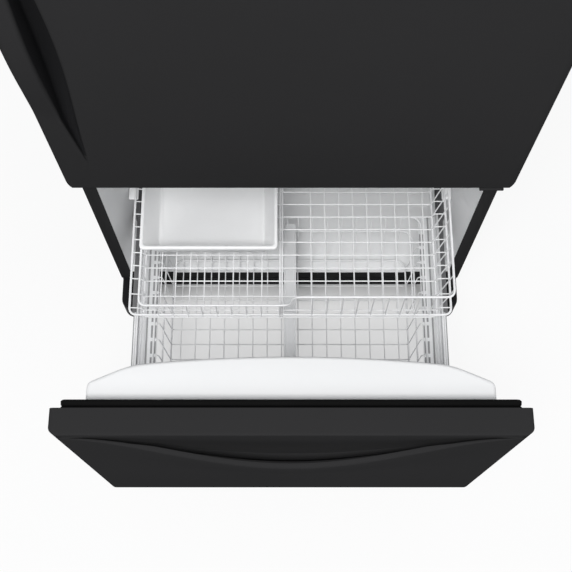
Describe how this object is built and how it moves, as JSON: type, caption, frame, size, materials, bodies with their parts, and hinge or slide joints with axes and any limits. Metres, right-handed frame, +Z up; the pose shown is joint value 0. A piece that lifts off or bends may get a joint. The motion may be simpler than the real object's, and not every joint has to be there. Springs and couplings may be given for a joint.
{
  "type": "bottom-freezer refrigerator",
  "caption": "Black refrigerator with one upper door and a pull-out freezer drawer standing open, wire baskets, a white ice bin and a bowed hand lip across the drawer front.",
  "frame": {"origin": "middle of the bounding box at floor level, with the freezer drawer standing open and the door shut", "axes": "+X to the refrigerator's right as seen from its front, +Y to its back, +Z up"},
  "size_m": [0.833, 1.3, 1.773],
  "materials": {
    "black_paint": "smooth, half gloss black",
    "grey_paint": "dull dark grey",
    "foam": "cast foam",
    "white_plastic": "satin moulding",
    "zinc_steel": "zinc plated",
    "dark_steel": "dark coated steel",
    "black_plastic": "fine grain",
    "black_rubber": "soft, dull",
    "white_wire": "white coated wire",
    "glass": "clear tempered",
    "clear_plastic": "clear, glossy",
    "aluminium": "bare"
  },
  "bodies": {
    "cabinet": {"cabinet_shell": "black_paint", "mullion_rail": "black_paint", "centre_hinge": "black_paint", "compressor": "black_paint", "condenser": "black_paint", "back_panel": "grey_paint", "machine_cover": "grey_paint", "foam_insulation": "foam", "fresh_food_liner": "white_plastic", "freezer_liner": "white_plastic", "evaporator_cover": "white_plastic", "air_tower": "white_plastic", "control_housing": "white_plastic", "ice_maker": "white_plastic", "base_pan": "zinc_steel", "fan_bracket": "zinc_steel", "slide_outer_left": "dark_steel", "slide_outer_right": "dark_steel", "top_hinge": "dark_steel", "toe_grille": "black_plastic", "foot_cover_left": "black_plastic", "foot_cover_right": "black_plastic", "hinge_cover": "black_plastic", "drain_pan": "black_plastic", "glass_shelf_lower": "glass", "glass_shelf_middle": "glass", "glass_shelf_upper": "glass", "crisper_cover": "glass", "lamp_cover": "clear_plastic", "evaporator": "aluminium"},
    "fridge_door": {"door_panel": "black_paint", "door_liner": "white_plastic", "door_gasket": "black_rubber", "door_bin_lower": "clear_plastic", "door_bin_middle": "clear_plastic", "dairy_bin": "clear_plastic"},
    "dairy_lid": {"dairy_lid": "clear_plastic"},
    "freezer_drawer": {"drawer_front": "black_paint", "drawer_liner": "white_plastic", "drawer_gasket": "black_rubber", "lower_basket": "white_wire", "slide_inner_left": "zinc_steel", "slide_inner_right": "zinc_steel"},
    "basket_divider": {"basket_divider": "white_plastic"},
    "slide_middle_left": {"slide_middle_left": "dark_steel"},
    "slide_middle_right": {"slide_middle_right": "dark_steel"},
    "upper_basket": {"upper_basket": "white_wire"},
    "ice_bin": {"ice_bin": "white_plastic"},
    "crisper_left": {"crisper_left": "clear_plastic"},
    "crisper_right": {"crisper_right": "clear_plastic"},
    "ice_bail_arm": {"ice_bail_arm": "zinc_steel"},
    "temperature_dial": {"temperature_dial": "white_plastic"},
    "condenser_fan": {"condenser_fan": "black_plastic"},
    "evaporator_fan": {"evaporator_fan": "black_plastic"},
    "front_roller_left": {"front_roller_left": "black_plastic"},
    "front_roller_right": {"front_roller_right": "black_plastic"},
    "rear_roller_left": {"rear_roller_left": "black_plastic"},
    "rear_roller_right": {"rear_roller_right": "black_plastic"},
    "leveling_leg_left": {"leveling_leg_left": "zinc_steel"},
    "leveling_leg_right": {"leveling_leg_right": "zinc_steel"}
  },
  "joints": [
    {"name": "fridge_door_hinge", "type": "hinge", "parent": "cabinet", "child": "fridge_door", "pos_m": [0.381, -0.13803, 0.745], "axis": [0, 0, 1], "range_deg": [0, 130]},
    {"name": "dairy_lid_hinge", "type": "hinge", "parent": "fridge_door", "child": "dairy_lid", "pos_m": [0, -0.09673, 1.562], "axis": [1, 0, 0], "range_deg": [0, 80]},
    {"name": "freezer_drawer_slide", "type": "slide", "parent": "cabinet", "child": "freezer_drawer", "axis": [0, -1, 0], "range_m": [-0.459, 0.03]},
    {"name": "slide_middle_left_slide", "type": "slide", "parent": "cabinet", "child": "slide_middle_left", "axis": [0, -1, 0], "range_m": [-0.23, 0.016]},
    {"name": "slide_middle_right_slide", "type": "slide", "parent": "cabinet", "child": "slide_middle_right", "axis": [0, -1, 0], "range_m": [-0.23, 0.016]},
    {"name": "upper_basket_slide", "type": "slide", "parent": "cabinet", "child": "upper_basket", "axis": [0, -1, 0], "range_m": [-0.303, 0.021]},
    {"name": "ice_bin_lift", "type": "slide", "parent": "upper_basket", "child": "ice_bin", "axis": [0, 0, 1], "range_m": [0, 0.12]},
    {"name": "basket_divider_slide", "type": "slide", "parent": "freezer_drawer", "child": "basket_divider", "axis": [1, 0, 0], "range_m": [-0.1, 0.1]},
    {"name": "crisper_left_slide", "type": "slide", "parent": "cabinet", "child": "crisper_left", "axis": [0, -1, 0], "range_m": [0, 0.25]},
    {"name": "crisper_right_slide", "type": "slide", "parent": "cabinet", "child": "crisper_right", "axis": [0, -1, 0], "range_m": [0, 0.25]},
    {"name": "ice_bail_arm_hinge", "type": "hinge", "parent": "cabinet", "child": "ice_bail_arm", "pos_m": [-0.201, 0.23997, 0.61], "axis": [1, 0, 0], "range_deg": [0, 35]},
    {"name": "temperature_dial_turn", "type": "hinge", "parent": "cabinet", "child": "temperature_dial", "pos_m": [0.06, 0.15367, 1.6827], "axis": [0, 1, 0], "range_deg": [-135, 135]},
    {"name": "condenser_fan_spin", "type": "hinge", "parent": "cabinet", "child": "condenser_fan", "pos_m": [0.04, 0.55397, 0.101], "axis": [1, 0, 0], "continuous": true},
    {"name": "evaporator_fan_spin", "type": "hinge", "parent": "cabinet", "child": "evaporator_fan", "pos_m": [0, 0.56297, 0.56], "axis": [0, 1, 0], "continuous": true},
    {"name": "front_roller_left_spin", "type": "hinge", "parent": "cabinet", "child": "front_roller_left", "pos_m": [-0.352, -0.03003, 0.02], "axis": [1, 0, 0], "continuous": true},
    {"name": "rear_roller_left_spin", "type": "hinge", "parent": "cabinet", "child": "rear_roller_left", "pos_m": [-0.38, 0.59997, 0.02], "axis": [1, 0, 0], "continuous": true},
    {"name": "leveling_leg_left_turn", "type": "hinge", "parent": "cabinet", "child": "leveling_leg_left", "pos_m": [-0.381, -0.10403, 0.02], "axis": [0, 0, 1], "continuous": true},
    {"name": "front_roller_right_spin", "type": "hinge", "parent": "cabinet", "child": "front_roller_right", "pos_m": [0.352, -0.03003, 0.02], "axis": [1, 0, 0], "continuous": true},
    {"name": "rear_roller_right_spin", "type": "hinge", "parent": "cabinet", "child": "rear_roller_right", "pos_m": [0.38, 0.59997, 0.02], "axis": [1, 0, 0], "continuous": true},
    {"name": "leveling_leg_right_turn", "type": "hinge", "parent": "cabinet", "child": "leveling_leg_right", "pos_m": [0.381, -0.10403, 0.02], "axis": [0, 0, 1], "continuous": true}
  ],
  "couplings": [
    {"joint": "slide_middle_left_slide", "follows": "freezer_drawer_slide", "ratio": 0.5},
    {"joint": "slide_middle_right_slide", "follows": "freezer_drawer_slide", "ratio": 0.5},
    {"joint": "upper_basket_slide", "follows": "freezer_drawer_slide", "ratio": 0.65795},
    {"joint": "crisper_left_slide", "follows": "fridge_door_hinge", "m_per_rad": 0.11},
    {"joint": "crisper_right_slide", "follows": "fridge_door_hinge", "m_per_rad": 0.11}
  ]
}
